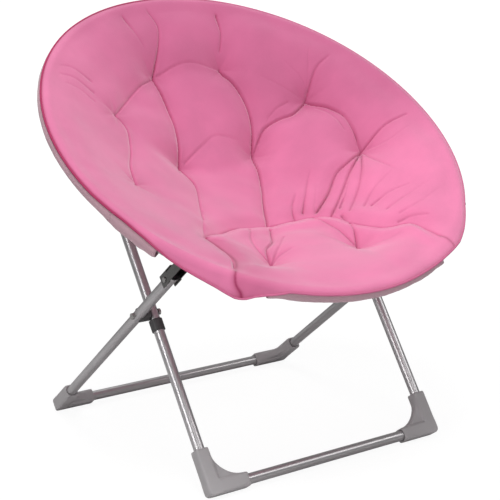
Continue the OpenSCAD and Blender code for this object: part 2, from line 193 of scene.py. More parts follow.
def object_noise(tree, scale, detail=3.0, stretch=None):
    """Noise on Object coordinates, per metre, drawn out where stretch says so."""
    place = add_node(tree, "ShaderNodeTexCoord").outputs["Object"]
    if stretch:
        mapping = add_node(tree, "ShaderNodeMapping", Scale=stretch)
        tree.links.new(place, mapping.inputs["Vector"])
        place = mapping.outputs["Vector"]
    grain = add_node(tree, "ShaderNodeTexNoise", Scale=scale, Detail=detail, Roughness=0.55)
    tree.links.new(place, grain.inputs["Vector"])
    return grain.outputs["Fac"]


def ramp(tree, source, low, high, start=0.0, end=1.0):
    """Source mapped from start..end to low..high."""
    node = add_node(tree, "ShaderNodeMapRange", From_Min=start, From_Max=end, To_Min=low, To_Max=high)
    tree.links.new(source, node.inputs["Value"])
    return node.outputs["Result"]


def mix_colour(tree, factor, first, second, blend="MIX"):
    """A colour between first and second, each a colour or a socket."""
    node = add_node(tree, "ShaderNodeMix", {"data_type": "RGBA", "blend_type": blend})
    factor_in, a_in, b_in = node.inputs[0], node.inputs[6], node.inputs[7]
    if isinstance(factor, bpy.types.NodeSocket):
        tree.links.new(factor, factor_in)
    else:
        factor_in.default_value = factor
    for value, socket in ((first, a_in), (second, b_in)):
        if isinstance(value, bpy.types.NodeSocket):
            tree.links.new(value, socket)
        else:
            socket.default_value = (*value, 1)
    return node.outputs[2]


def add_math(tree, operation, first, second):
    node = add_node(tree, "ShaderNodeMath", {"operation": operation})
    tree.links.new(first, node.inputs[0])
    tree.links.new(second, node.inputs[1])
    return node.outputs["Value"]


def mix_shaders(tree, factor, first, second):
    node = add_node(tree, "ShaderNodeMixShader")
    for source, socket in zip((factor, first, second), node.inputs):
        tree.links.new(source, socket)
    return node.outputs["Shader"]


def add_bump(tree, shader, height, strength, distance, below=None):
    bump = add_node(tree, "ShaderNodeBump", Strength=strength, Distance=distance)
    tree.links.new(height, bump.inputs["Height"])
    if below:
        tree.links.new(below.outputs["Normal"], bump.inputs["Normal"])
    tree.links.new(bump.outputs["Normal"], shader.inputs["Normal"])
    return bump


def shade(colour, share):
    return tuple(min(1, channel * share) for channel in colour)


def paint_base(tree, shader, grain, base, darkest, lightest):
    """The base colour in patches between two shares of it."""
    tint = mix_colour(tree, grain, shade(base, darkest), shade(base, lightest))
    tree.links.new(tint, shader.inputs["Base Color"])


def wear(tree, shader, grain, low, high):
    """Roughness in patches between low and high."""
    tree.links.new(ramp(tree, grain, low, high, *NOISE_SPAN), shader.inputs["Roughness"])


def paint_material():
    """Satin silver-grey paint with a faint orange peel and duller patches."""
    base = colours().paint
    material, tree, shader = new_material("tube_paint", base, roughness=0.34, metallic=0.9)
    paint_base(tree, shader, object_noise(tree, 9), base, 0.92, 1.08)
    wear(tree, shader, object_noise(tree, 45, 4), 0.28, 0.38)
    add_bump(tree, shader, object_noise(tree, 500, 2), strength=0.004, distance=0.00002)
    return material


def plastic_material(base):
    """Moulded plastic with a fine spark-eroded grain."""
    material, tree, shader = new_material("moulded_plastic", base, roughness=0.5)
    paint_base(tree, shader, object_noise(tree, 22), base, 0.92, 1.1)
    wear(tree, shader, object_noise(tree, 160), 0.42, 0.58)
    add_bump(tree, shader, object_noise(tree, 2600), strength=0.16, distance=0.0003)
    return material


def zinc_material(base):
    """Zinc-plated pressed steel, with brush streaks along its length."""
    material, tree, shader = new_material("zinc", base, roughness=0.3, metallic=1.0)
    streaks = object_noise(tree, 160, 4, stretch=(1, 1, 14))
    paint_base(tree, shader, object_noise(tree, 60), base, 0.78, 1.12)
    wear(tree, shader, streaks, 0.2, 0.44)
    add_bump(tree, shader, streaks, strength=0.08, distance=0.0002)
    return material


def black_material():
    """Plain black plastic, duller in patches."""
    material, tree, shader = new_material("black_plastic", colours().black, roughness=0.42)
    wear(tree, shader, object_noise(tree, 240), 0.34, 0.52)
    add_bump(tree, shader, object_noise(tree, 2200, 2), strength=0.1, distance=0.0002)
    return material


def velvet_material():
    """Short-pile velvet: a soft sheen, nap that lies in patches, painted shade where the cushion dips, and
    painted light and shade by place on the bowl.
    """
    base = colours().velvet
    material, tree, shader = new_material("velvet", base, roughness=0.82)
    nap = object_noise(tree, 11, 4, stretch=(1, 1.6, 0.8))
    tint = mix_colour(tree, ramp(tree, nap, 0, 1, 0.32, 0.68), shade(base, 0.93), shade(base, 1.06))
    pile = object_noise(tree, 1500, 4)
    tint = mix_colour(tree, ramp(tree, pile, 0, 0.5, 0.35, 0.7), tint, shade(base, 1.1))
    # Painted light and shade by place on the bowl: darker high on the back, brighter low on the right and
    # on the lip
    shaded_tint = (0.8, 0.76, 0.8)
    lit_tint = (1.14, 1.24, 1.2)
    lighter = mix_colour(tree, mesh_value(tree, "painted_light"), shaded_tint, lit_tint)
    tint = mix_colour(tree, 1.0, tint, lighter, "MULTIPLY")
    # Painted shade in the folds, at the tufts and in the piping's groove
    tint = mix_colour(tree, mesh_value(tree, "painted_shade"), tint, colours().crease_shade)
    tree.links.new(tint, shader.inputs["Base Color"])
    shader.inputs["Sheen Weight"].default_value = 1.0
    shader.inputs["Sheen Roughness"].default_value = 0.45
    shader.inputs["Sheen Tint"].default_value = (1, 0.8, 0.88, 1)
    shader.inputs["Specular IOR Level"].default_value = 0.2
    fine = add_bump(tree, shader, pile, strength=0.25, distance=0.0006)
    add_bump(tree, shader, object_noise(tree, 210, 4), strength=0.12, distance=0.0015, below=fine)
    return material


def mesh_value(tree, name):
    """A value that the mesh holds at each of its points."""
    return add_node(tree, "ShaderNodeAttribute", {"attribute_name": name}).outputs["Fac"]


def woven_material(name, base):
    """Plain woven cloth: warp and weft on Object coordinates, a little faded."""
    material, tree, shader = new_material(name, base, roughness=0.85)
    tint = mix_colour(tree, object_noise(tree, 16, 4), shade(base, 0.84), shade(base, 1.16))
    warp = object_noise(tree, 1300, 2, stretch=(1, 0.25, 1))
    weft = object_noise(tree, 1300, 2, stretch=(0.25, 1, 1))
    weave = add_math(tree, "MAXIMUM", warp, weft)
    tint = mix_colour(tree, ramp(tree, weave, 0.35, 0, 0.4, 0.62), tint, shade(base, 0.6))
    tree.links.new(tint, shader.inputs["Base Color"])
    shader.inputs["Sheen Weight"].default_value = 0.25
    shader.inputs["Specular IOR Level"].default_value = 0.15
    add_bump(tree, shader, weave, strength=0.3, distance=0.0005)
    return material


def piping_material():
    """The velvet's own cloth over a cord, painted dark as shade in its groove and painted rosy where the
    light falls on it.
    """
    base = colours().piping
    material, tree, shader = new_material("piping_cloth", base, roughness=0.8)
    tint = mix_colour(tree, mesh_value(tree, "lit"), base, colours().lit_piping)
    tree.links.new(tint, shader.inputs["Base Color"])
    shader.inputs["Specular IOR Level"].default_value = 0.2
    add_bump(tree, shader, object_noise(tree, 1100), strength=0.3, distance=0.0005)
    return material


def material_for(slot):
    """Each finish is made once and then shared."""
    makers = {
        "silver_paint": paint_material,
        "zinc_steel": lambda: zinc_material(colours().zinc),
        "bracket_steel": lambda: zinc_material(colours().bracket),
        "grey_plastic": lambda: plastic_material(colours().plastic),
        "clip_plastic": lambda: plastic_material(colours().clips),
        "black_plastic": black_material,
        "velvet": velvet_material,
        "backing_cloth": lambda: woven_material("backing_cloth", colours().backing),
        "piping": piping_material,
    }
    key = "chair_" + slot
    made = bpy.data.materials.get(key)
    if made is None:
        made = makers[slot]()
        made.name = key
    return made


# Pieces


def smooth_faces(mesh):
    mesh.polygons.foreach_set("use_smooth", [True] * len(mesh.polygons))


def finish_mesh(bm, name, material, sharp=None):
    """A smooth-shaded object from a bmesh, whose edges stay sharp where they turn by an angle or more."""
    mesh = bpy.data.meshes.new(name)
    bm.to_mesh(mesh)
    bm.free()
    smooth_faces(mesh)
    if sharp:
        mesh.set_sharp_from_angle(angle=sharp)
    mesh.materials.append(material)
    piece = bpy.data.objects.new(name, mesh)
    bpy.context.scene.collection.objects.link(piece)
    return piece


# Edges of the CAD pieces that turn by this angle or more stay sharp or are softened
SHARP_ANGLE = math.radians(30)


def dressed(node, slot, bevel=0.0, finish=None):
    """A smooth copy of a CAD node, with softened edges, that stands for it."""
    source = FRAME["nodes"][node]
    bm = bmesh.new()
    bm.from_mesh(source.data)
    bmesh.ops.remove_doubles(bm, verts=bm.verts, dist=0.002 * MM)
    flat_enough = math.radians(0.4)
    bmesh.ops.dissolve_limit(
        bm, angle_limit=flat_enough, verts=bm.verts, edges=bm.edges, delimit={"NORMAL"}
    )
    piece = finish_mesh(bm, node + "_finished", material_for(finish or slot), SHARP_ANGLE)
    if bevel:
        rounding = piece.modifiers.new("soft_edges", "BEVEL")
        rounding.width = bevel
        rounding.segments = 2
        rounding.limit_method = "ANGLE"
        rounding.angle_limit = SHARP_ANGLE
        rounding.harden_normals = True
    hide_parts(node)
    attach(piece, source["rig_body"])
    return piece


def moulded(node, slot):
    """A copy of a CAD node with the rounded, flowing corners of a moulded part."""
    piece = dressed(node, slot)
    even = piece.modifiers.new("even_cells", "REMESH")
    even.mode = "VOXEL"
    even.voxel_size = 1.1 * MM
    flow = piece.modifiers.new("flowing_corners", "SMOOTH")
    flow.factor = 0.5
    flow.iterations = 60
    apply_modifiers(piece)
    smooth_faces(piece.data)
    return piece


def smoothstep(value, start, end):
    """Rises smoothly from 0 at start to 1 at end."""
    share = np.clip((value - start) / (end - start), 0, 1)
    return share * share * (3 - 2 * share)


def bell(gap, width):
    """1 at no gap, run out at about twice the width."""
    return np.exp(-((gap / width) ** 2))


def bowl_share(share):
    """How far the bowl has sunk, 1 at the middle and 0 at the rim, at a share of its radius."""
    rounding = 0.02
    power = 0.7
    floor = (rounding / (1 + rounding)) ** power
    return (1 - ((share * share + rounding) / (1 + rounding)) ** power) / (1 - floor)


# Where the cushion is sewn through, in mm across and up the slope of the ring
TUFTS = {
    "top_left": (-85, 245),
    "top_right": (70, 253),
    "upper_left": (-216, 140),
    "upper_right": (219, 145),
    "middle_left": (-96, 62),
    "middle_right": (77, 75),
    "side_left": (-254, -35),
    "side_right": (265, -8),
    "seat_left": (-96, -257),
    "seat_right": (102, -247),
}
# The tufts on the steep sides of the bowl are shallower, by these shares
TUFT_SHARES = {
    "upper_left": 0.2,
    "side_left": 0.4,
    "top_left": 0.6,
    "top_right": 0.65,
    "upper_right": 0.8,
}
# Folds of the velvet: the spots they run through, depth and width in mm and each end's share of the depth
FOLDS = (
    (("top_left", (-56, 300), (-46, 338), (-62, 374)), 11, 4.5, 1, 0.3),
    (("top_left", (-146, 203), "upper_left"), 7, 4.5, 1, 1),
    (("top_left", (-9, 264), "top_right"), 5, 4.5, 0.9, 0.4),
    (("top_left", (-76, 178), (-76, 129), "middle_left"), 13, 4.5, 1, 1),
    (((94, 352), (91, 315), (78, 282)), 10, 4.5, 0.8, 0.5),
    (("top_right", (92, 203), (97, 144), "middle_right"), 13, 4.5, 1, 1),
    (("upper_left", (-201, 112), (-218, 58), (-243, 10), "side_left"), 9, 4.5, 0.7, 0.9),
    (("middle_left", (-36, 96), (3, 114), (50, 104)), 4, 6, 1, 0.2),
    (("middle_left", (-95, 3), (-121, -56), (-150, -115)), 10, 4.5, 1, 0.5),
    (((-128, -80), (-156, -120), (-182, -168)), 5, 6, 0.5, 0.7),
    (("middle_right", (112, 112), (150, 122), (182, 124), "upper_right"), 11, 4.5, 0.8, 1),
    (((96, 104), (140, 138), (178, 150)), 5, 4, 0.5, 0.6),
    (("middle_right", (58, 5), (26, -62), (0, -118)), 15, 4, 0.9, 1),
    (("upper_right", (252, 190), (288, 208)), 9, 5, 1, 0.2),
    (("upper_right", (222, 178), (196, 226)), 4, 5, 0.8, 0.1),
    (("upper_right", (232, 182), (252, 232)), 5, 4, 0.7, 0.2),
    (("upper_right", (184, 172), (140, 212)), 4, 5, 0.8, 0.1),
    (("upper_right", (259, 88), (266, 45), "side_right"), 10, 4.5, 1, 0.8),
    (((228, 120), (244, 86), (250, 44)), 5, 4, 0.6, 0.5),
    (("side_right", (312, 12), (360, 14)), 9, 5, 1, 0.3),
    (("side_right", (306, -22), (352, -14)), 4, 5, 0.7, 0.1),
    (("side_right", (222, -28), (188, -44), (150, -82), (106, -116)), 14, 3.5, 0.8, 1),
    (("side_right", (212, -52), (166, -98), (118, -142)), 13, 3.5, 0.9, 0.8),
    (("side_right", (228, -62), (190, -110), (150, -148)), 10, 4, 0.8, 0.5),
    (("side_right", (262, -60), (268, -100)), 8, 5, 0.8, 0.1),
    (((58, -120), (70, -88), (96, -54)), 13, 3.5, 1, 0.1),
    (((82, -106), (106, -72), (146, -16)), 10, 4, 1, 0.1),
    (((100, -120), (112, -96), (138, -54)), 5, 4, 0.8, 0.1),
    (((142, -130), (176, -96), (206, -58)), 9, 4, 0.8, 0.1),
    (((176, -152), (214, -122), (262, -100)), 6, 5, 0.6, 0.1),
    (((186, -158), (226, -148), (264, -150)), 6, 4, 0.8, 0.2),
    (((196, -186), (238, -176), (290, -166)), 5, 5, 0.6, 0.1),
    (((194, -226), (216, -228), (238, -242)), 5, 4, 0.8, 0.5),
    (((205, -210), (250, -205), (300, -190)), 4, 5, 0.6, 0.1),
    (((-320, 214), (-285, 216), (-248, 196)), 3, 4.5, 0.4, 0.9),
    (((-316, 196), (-286, 192), (-252, 172)), 3, 4.5, 0.4, 0.9),
    (((-308, 176), (-282, 168), (-258, 152)), 2.5, 4.5, 0.4, 0.8),
    (((-120, 352), (-104, 318), (-92, 292)), 5, 5, 1, 0.2),
    (("seat_left", (-78, -214), (-44, -186), (-14, -140)), 12, 4.5, 1, 0.8),
    (("seat_left", (-96, -214), (-84, -176), (-58, -136)), 7, 5, 0.9, 0.5),
    (("seat_left", (-70, -238), (-36, -226)), 8, 4.5, 0.9, 0.2),
    (("seat_left", (-62, -222), (-14, -178)), 8, 4.5, 0.9, 0.3),
    (("seat_left", (-120, -276), (-150, -280)), 4, 6, 0.9, 0.1),
    (("seat_right", (116, -213), (130, -172), (134, -150)), 11, 4.5, 1, 0.7),
    (("seat_right", (98, -206), (92, -164), (84, -130)), 10, 4.5, 0.9, 0.6),
    (("seat_right", (76, -222), (48, -196)), 4, 5, 0.9, 0.1),
    (("seat_right", (140, -262), (172, -262)), 4, 6, 0.9, 0.1),
)
# The edge of the seat panel in mm, up its left side, along its back and down its right side
SEAT_LEFT = ((-225, -350), (-231, -322), (-194, -262), (-190, -215), (-190, -175))
SEAT_BACK = ((-132, -148), (-76, -125), (0, -121), (56, -121), (98, -130), (120, -148))
SEAT_RIGHT = ((134, -180), (166, -226), (206, -246), (214, -304), (222, -352))
SEAT_EDGE = SEAT_LEFT + SEAT_BACK + SEAT_RIGHT
SEAT_LEFT_CORNER = len(SEAT_LEFT) - 1


def place_of(spot):
    """A tuft's name or a pair of numbers, in metres."""
    x, s = TUFTS.get(spot, spot)
    return np.array((x * MM, s * MM))


def smooth_line(spots, steps=8):
    """A smooth line through its spots (a Catmull-Rom spline)."""
    line = np.array([place_of(spot) for spot in spots])
    padded = np.vstack((2 * line[0] - line[1], line, 2 * line[-1] - line[-2]))
    share = np.linspace(0, 1, steps, endpoint=False)[:, None]
    parts = []
    for a, b, c, d in zip(padded, padded[1:], padded[2:], padded[3:]):
        bend = (2 * a - 5 * b + 4 * c - d) * share**2 + (3 * b - a - 3 * c + d) * share**3
        parts.append((2 * b + (c - a) * share + bend) / 2)
    return np.vstack((*parts, line[-1:]))


def nearest(points, line):
    """Each point's signed distance from a line, left of it positive, and the share along the line."""
    best = np.full(len(points), np.inf)
    where = np.zeros(len(points))
    steps = len(line) - 1
    for i in range(steps):
        a, b = line[i], line[i + 1]
        along = b - a
        away = points - a
        share = np.clip((away @ along) / (along @ along), 0, 1)
        gap = np.hypot(*(away - share[:, None] * along).T)
        closer = gap < np.abs(best)
        left = along[0] * away[:, 1] - along[1] * away[:, 0] > 0
        best[closer] = np.where(left, gap, -gap)[closer]
        where[closer] = (i + share[closer]) / steps
    return best, where


def seat_side(points):
    """Signed distance from the seat panel's edge, positive on the seat, and the place along it."""
    gap, where = nearest(points, smooth_line(SEAT_EDGE, 6))
    return -gap, where * (len(SEAT_EDGE) - 1)


# A fold is a wide hollow with a narrow cut and a lip left of the cut: shares of its depth and width
HOLLOW_DEPTH = 0.5
HOLLOW_WIDTH = 5
CUT_WIDTH = 0.45
LIP_HEIGHT = 0.45
LIP_PLACE = 1.5
# It is painted dark along the cut as shade, most in folds of at least this depth in mm, with painted shade
# on both sides of it
LINE_WIDTH = 0.4
DARK_DEPTH = 10
FOLD_SHADE = 0.16
FOLD_SHADE_WIDTH = 16 * MM
# A tuft is a pointed hollow with gathers round the stitch, painted dark at the stitch with painted shade
# round it
TUFT_WIDTH = 34 * MM
TUFT_POINT = 1.4
GATHERS = 6
GATHER_HEIGHT = 2.4 * MM
GATHER_REACH = 20 * MM
GATHER_START = 5 * MM
STITCH_DEPTH = 6 * MM
STITCH_WIDTH = 4 * MM
STITCH_DARK = 0.8
TUFT_SHADE = 0.26
TUFT_SHADE_WIDTH = 24 * MM


def fold_shape(points):
    """How far folds and tufts draw the velvet in, wide and narrow, and how much shade is painted there."""
    wide = np.zeros(len(points))
    narrow = np.zeros(len(points))
    dark = np.zeros(len(points))
    for spots, deep, width, at_start, at_end in FOLDS:
        gap, where = nearest(points, smooth_line(spots))
        fade = (at_start + (at_end - at_start) * where) * (0.65 + 0.35 * np.abs(2 * where - 1))
        near = np.abs(gap)
        wide = np.maximum(wide, HOLLOW_DEPTH * deep * MM * fade * bell(near, width * HOLLOW_WIDTH * MM))
        lip = LIP_HEIGHT * bell(gap - LIP_PLACE * width * MM, width * MM)
        drawn = deep * MM * fade * (np.exp(-near / (width * CUT_WIDTH * MM)) - lip)
        narrow = np.where(np.abs(drawn) > np.abs(narrow), drawn, narrow)
        # Painted shade: a dark line along each fold's cut and a soft shade on both sides
        darkest = fade * min(1, deep / DARK_DEPTH)
        dark = np.maximum(dark, darkest * np.exp(-near / (width * LINE_WIDTH * MM)))
        dark = np.maximum(dark, FOLD_SHADE * darkest * bell(near, FOLD_SHADE_WIDTH))
    for number, (name, (x, s)) in enumerate(TUFTS.items()):
        gap, angle = polar(points - np.array((x, s)) * MM)
        tuft_depth = sizes().tuft_depth * TUFT_SHARES.get(name, 1)
        wide = np.maximum(wide, tuft_depth * np.exp(-((gap / TUFT_WIDTH) ** TUFT_POINT)))
        near = np.exp(-gap / GATHER_REACH) * (1 - np.exp(-gap / GATHER_START))
        narrow = narrow + GATHER_HEIGHT * np.cos(GATHERS * angle + number * 2) * near
        stitch = np.exp(-gap / STITCH_WIDTH)
        narrow = np.maximum(narrow, STITCH_DEPTH * stitch)
        # Painted shade: dark at the stitch and softer round the tuft
        dark = np.maximum(dark, STITCH_DARK * stitch)
        dark = np.maximum(dark, TUFT_SHADE * bell(gap, TUFT_SHADE_WIDTH))
    # The left side is stretched flatter
    wide *= 1 - 0.4 * smoothstep(points[:, 0], -130 * MM, -210 * MM)
    return wide, narrow, dark


# The seat's fold: a wide hollow with a narrow cut, and a roll on the seat or, on the left, beside it
SEAT_HOLLOW = 11 * MM
SEAT_HOLLOW_WIDTH = 24 * MM
SEAT_ROLL = 9 * MM
SIDE_ROLL = 2 * MM
SEAT_CUT = 9
LEFT_CUT_LESS = 3
SEAT_CUT_WIDTH = 2.4 * MM
SEAT_LIP = 2.5 * MM
# Width in mm of the painted dark line along the seat's fold
SEAT_LINE_WIDTH = 2.1
# On the left the painted dark line lies on the seat's side of the fold, and the seat beside it has a
# painted shadow
LEFT_LINE_PLACE = 7.5
LEFT_SHADE = 0.3
LEFT_SHADE_WIDTH = 55 * MM


def seat_shape(points):
    """How far the seat's fold is drawn in, wide and narrow, and the painted shade along it."""
    side, along = seat_side(points)
    left = np.clip(SEAT_LEFT_CORNER + 0.5 - along, 0, 1)
    gap = np.abs(side)
    seat_roll = (1 - left) * (side > 0) * SEAT_ROLL * bell(gap - 17 * MM, 15 * MM)
    side_roll = left * (side < 0) * SIDE_ROLL * bell(gap - 26 * MM, 20 * MM)
    drawn = SEAT_HOLLOW * (1 - 0.3 * left) * (1 - 0.6 * left * smoothstep(side, 4 * MM, -10 * MM))
    wide = drawn * bell(gap, SEAT_HOLLOW_WIDTH) - seat_roll - side_roll
    lip_gap = np.where(left > 0.5, -side, side)
    lip = SEAT_LIP * bell(lip_gap - 5 * MM, 3.5 * MM)
    narrow = (SEAT_CUT - LEFT_CUT_LESS * left) * MM * np.exp(-gap / SEAT_CUT_WIDTH) - lip
    # Painted shade: a dark line along the fold, moved onto the seat on the left, and a painted shadow on
    # the seat beside it there
    inside = left * np.clip(along - 1, 0, 1)
    line_width = (SEAT_LINE_WIDTH + 1.0 * left + 1.2 * inside) * MM
    line = np.exp(-np.abs(side - inside * LEFT_LINE_PLACE * MM) / line_width)
    shade_share = LEFT_SHADE * left * (side > 0) * bell(gap, LEFT_SHADE_WIDTH)
    return wide, narrow, np.maximum(line * (0.8 + 0.2 * left), shade_share)


def lumps(points, scale, seed):
    """Smooth noise between -1 and 1, the same on every run."""
    return np.array([noise.noise(Vector((x / scale, s / scale, seed))) for x, s in points])


def polar(points):
    """Each point's distance from the ring's axis and its angle round it."""
    x, s = points[:, 0], points[:, 1]
    return np.hypot(x, s), np.arctan2(s, x)


def round_ring(degrees, rows):
    """A value read off rows of (place round the ring in degrees, value)."""
    places, values = zip(*rows)
    return np.interp(degrees % 360, places, values, period=360)


class Rim:
    """The cross-section of the cushion's edge over the sleeved hoop, all the way round.

    Places in it are (radius, height above the ring's plane). Turns in it start from straight out and
    go up and over the hoop. At the front left the padding is slack and hangs over the hoop as a lip.
    """

    # The share of the velvet's sheet inside the rim
    share = 0.92
    # Where the crest and the lining's inner edge lie, and the velvet's radius at the crest and the seam
    start = math.radians(125)
    inner = math.radians(207)
    crown = 14 * MM
    skin = 12.6 * MM
    # The lining's radius, and how far it makes way for the velvet under the lip
    inset = 12.2 * MM
    way = 2 * MM
    # The lip's greatest length, how it puffs out, and the ways that it hangs and faces
    longest = 26 * MM
    puffed = 4 * MM
    hang_way = np.array((0.5, -0.866))
    square = np.array((0.866, 0.5))
    # Rows of (place round the ring in degrees, mm): the lip's length and how far the edge stands out
    lip_rows = ((206, 0), (217, 4), (223, 9), (228, 13), (231, 16), (234, 21), (236, 24), (238, 21),
                (240, 13), (243, 6), (248, 0))
    corner_rows = ((288, 0), (298, 3), (306, 8), (312, 6), (322, 0))
    # Rows of (place round the ring in degrees, degrees): where in the section the seam lies
    seam_rows = ((30, 58), (60, 72), (100, 74), (130, 52), (195, 48), (205, 58), (212, 60), (216, 50),
                 (222, 46), (330, 50))

    def __init__(self, angle):
        degrees = np.degrees(angle)
        self.hang = round_ring(degrees, self.lip_rows) * MM
        self.corner = round_ring(degrees, self.corner_rows) * MM
        slack = np.clip(self.hang / (5 * MM), 0, 1)
        self.lining = self.inset - self.way * slack
        seam = round_ring(degrees, self.seam_rows) - 20 * slack
        self.edge = np.radians(seam)

    def over_hoop(self, turn, radius):
        """Places at a turn and a radius round the hoop's centre line."""
        centre = sizes().ring_radius
        return np.stack((centre + radius * np.cos(turn), radius * np.sin(turn)), -1)

    def top(self, t):
        """The velvet from the crest, t = 0, to the seam, t = 1."""
        out = smoothstep(t, 0, 0.6) * self.corner
        arc = self.crown * (self.start - self.edge)
        bend = arc / (arc + self.hang)
        on_arc = np.clip(t / bend, 0, 1)
        turn = self.start + (self.edge - self.start) * on_arc
        place = self.over_hoop(turn, self.crown + (self.skin - self.crown) * on_arc)
        down = np.clip((t - bend) / np.maximum(1 - bend, 1e-6), 0, 1) * self.hang
        puff = self.puffed * np.sin(np.pi * down / self.longest) * (self.hang / self.longest)
        place = place + down[:, None] * self.hang_way + puff[:, None] * self.square
        place[:, 0] += out
        return place

    def under(self, t):
        """The lining back from the seam, t = 0, over the hoop to its inner side, t = 1."""
        bend = 0.3
        up = (1 - np.clip(t / bend, 0, 1)) * self.hang
        turn = self.edge + (self.inner - self.edge) * np.clip((t - bend) / (1 - bend), 0, 1)
        place = self.over_hoop(turn, self.lining) + up[:, None] * self.hang_way
        place[:, 0] += (1 - smoothstep(t, 0, bend)) * self.corner
        return place


def crest_radius():
    """Radius of the rim's crest, where the bowl's top begins."""
    return sizes().ring_radius + Rim.crown * math.cos(Rim.start)


def bowl_top(radius):
    """Height of the bowl's top at a radius inside the rim's crest."""
    height = Rim.crown * math.sin(Rim.start)
    return height - (sizes().bowl_depth + height) * bowl_share(np.clip(radius / crest_radius(), 0, 1))


def bowl_under(radius):
    """Height of the cushion's underside at a radius inside the sleeves."""
    chair = sizes()
    edge = 5 * MM
    share = np.clip(radius / chair.bowl_radius, 0, 1)
    return -edge - (chair.bowl_depth + chair.padding - edge) * bowl_share(share)


def mesh_points(mesh):
    points = np.empty(len(mesh.vertices) * 3)
    mesh.vertices.foreach_get("co", points)
    return points.reshape(-1, 3)


def set_points(mesh, points):
    mesh.vertices.foreach_set("co", points.ravel())
    mesh.update()


def grid_disc(bm, cells, radius):
    """A square grid drawn into a disc, so that its cells stay even."""
    bmesh.ops.create_grid(bm, x_segments=cells, y_segments=cells, size=1)
    for vert in bm.verts:
        u, v = vert.co.x, vert.co.y
        vert.co.x = radius * u * math.sqrt(1 - v * v / 2)
        vert.co.y = radius * v * math.sqrt(1 - u * u / 2)


# How far the velvet stands above the bowl between its folds
PLUMP = 4 * MM


def cushion_top():
    """The velvet as an open sheet in the ring's frame, drawn in at its folds and tufts."""
    bm = bmesh.new()
    grid_disc(bm, sizes().cells, 1)
    piece = finish_mesh(bm, "velvet_cushion", material_for("velvet"))
    mesh = piece.data
    share, angle = polar(mesh_points(mesh))
    radius = np.clip(share / Rim.share, 0, 1) * crest_radius()
    height = bowl_top(radius)
    band = share > Rim.share
    place = Rim(angle[band]).top((share[band] - Rim.share) / (1 - Rim.share))
    radius[band], height[band] = place.T
    flat = np.stack((radius * np.cos(angle), radius * np.sin(angle)), -1)
    wide, _, _ = fold_shape(flat)
    seat, _, _ = seat_shape(flat)
    fade = smoothstep(share, Rim.share - 0.005, 0.8)
    height -= fade * (np.maximum(wide, seat) + np.minimum(seat, 0) - PLUMP)
    set_points(mesh, np.column_stack((flat, height)))
    return piece, share


# The cloth simulation: its frames, its push, and what holds it round the tufts and along the folds
STUFFING_FRAMES = 20
PRESSURE = 4
TUFT_HOLD = 9 * MM
FULL_HOLD_DEPTH = 14
FOLD_HOLD_WIDTH = 8 * MM
SEAT_HOLD_WIDTH = 9 * MM
# The furthest that it may move the velvet in mm, how much less on the left, and rounds of evening out
MOST_MOVE = 10
LEFT_MOVE_LESS = 5
CALMING_ROUNDS = 16


def stuffing_holds(flat, share):
    """How firmly each point is held while the velvet swells: at the rim, the tufts and the folds."""
    held = smoothstep(share, Rim.share - 0.03, Rim.share)
    for x, s in TUFTS.values():
        gap, _ = polar(flat - np.array((x, s)) * MM)
        held = np.maximum(held, gap < TUFT_HOLD)
    for spots, deep, _, at_start, at_end in FOLDS:
        gap, where = nearest(flat, smooth_line(spots))
        fade = at_start + (at_end - at_start) * where
        held = np.maximum(held, np.clip(deep / FULL_HOLD_DEPTH, 0, 1) * fade * bell(gap, FOLD_HOLD_WIDTH))
    side, _ = seat_side(flat)
    return np.maximum(held, 0.9 * bell(side, SEAT_HOLD_WIDTH))


def stuff(piece, share):
    """Swells the velvet between its tufts, folds and rim with a short cloth simulation."""
    start = mesh_points(piece.data)
    group = piece.vertex_groups.new(name="held")
    for index, hold in enumerate(stuffing_holds(start[:, :2], share)):
        group.add([index], float(hold), "REPLACE")
    settings = piece.modifiers.new("cloth", "CLOTH").settings
    settings.vertex_group_mass = "held"
    settings.use_pressure = True
    settings.uniform_pressure_force = PRESSURE
    settings.shrink_min = -0.04
    settings.bending_stiffness = 0.3
    settings.effector_weights.gravity = 0
    scene = bpy.context.scene
    for number in range(1, STUFFING_FRAMES + 1):
        scene.frame_set(number)
    apply_modifiers(piece)
    scene.frame_set(1)
    piece.vertex_groups.clear()
    moved = mesh_points(piece.data) - start
    # Evened out most in the steep outer part of the back
    calm = 0.3 + 0.7 * smoothstep(share, 0.62, 0.8) * smoothstep(start[:, 1], -50 * MM, 60 * MM)
    moved = calmed(piece.data, moved, calm)
    length = np.maximum(np.linalg.norm(moved, axis=1), 1e-9)
    most = (MOST_MOVE - LEFT_MOVE_LESS * smoothstep(start[:, 0], -170 * MM, -250 * MM)) * MM
    moved *= (most * np.tanh(length / most) / length)[:, None]
    set_points(piece.data, start + moved)


def calmed(mesh, moved, share):
    """The moves of a mesh's points, evened out between neighbours by a share at each point."""
    ends = np.empty(len(mesh.edges) * 2, dtype=int)
    mesh.edges.foreach_get("vertices", ends)
    first, second = ends.reshape(-1, 2).T
    count = np.bincount(first, minlength=len(moved)) + np.bincount(second, minlength=len(moved))
    for _ in range(CALMING_ROUNDS):
        total = np.zeros_like(moved)
        np.add.at(total, first, moved[second])
        np.add.at(total, second, moved[first])
        moved = moved + share[:, None] * (total / count[:, None] - moved)
    return moved


def close_under(piece):
    """Closes the velvet's sheet with its lining, ring by ring from the seam to the middle."""
    bm = bmesh.new()
    bm.from_mesh(piece.data)
    edges = [e for e in bm.edges if e.is_boundary]
    over_hoop = (0.02, 0.3, 0.5, 0.7, 0.85, 1)
    across_bowl = (0.97, 0.88, 0.74, 0.58, 0.4, 0.22, 0.08)
    for t in over_hoop:
        edges = add_ring(bm, edges, lambda angle: Rim(angle).under(np.full(len(angle), t)))
    for share in across_bowl:
        radius = share * sizes().bowl_radius
        height = float(bowl_under(radius))
        edges = add_ring(bm, edges, lambda angle: np.tile((radius, height), (len(angle), 1)))
    bmesh.ops.contextual_create(bm, geom=edges)
    bmesh.ops.recalc_face_normals(bm, faces=bm.faces)
    bm.to_mesh(piece.data)
    bm.free()
    smooth_faces(piece.data)


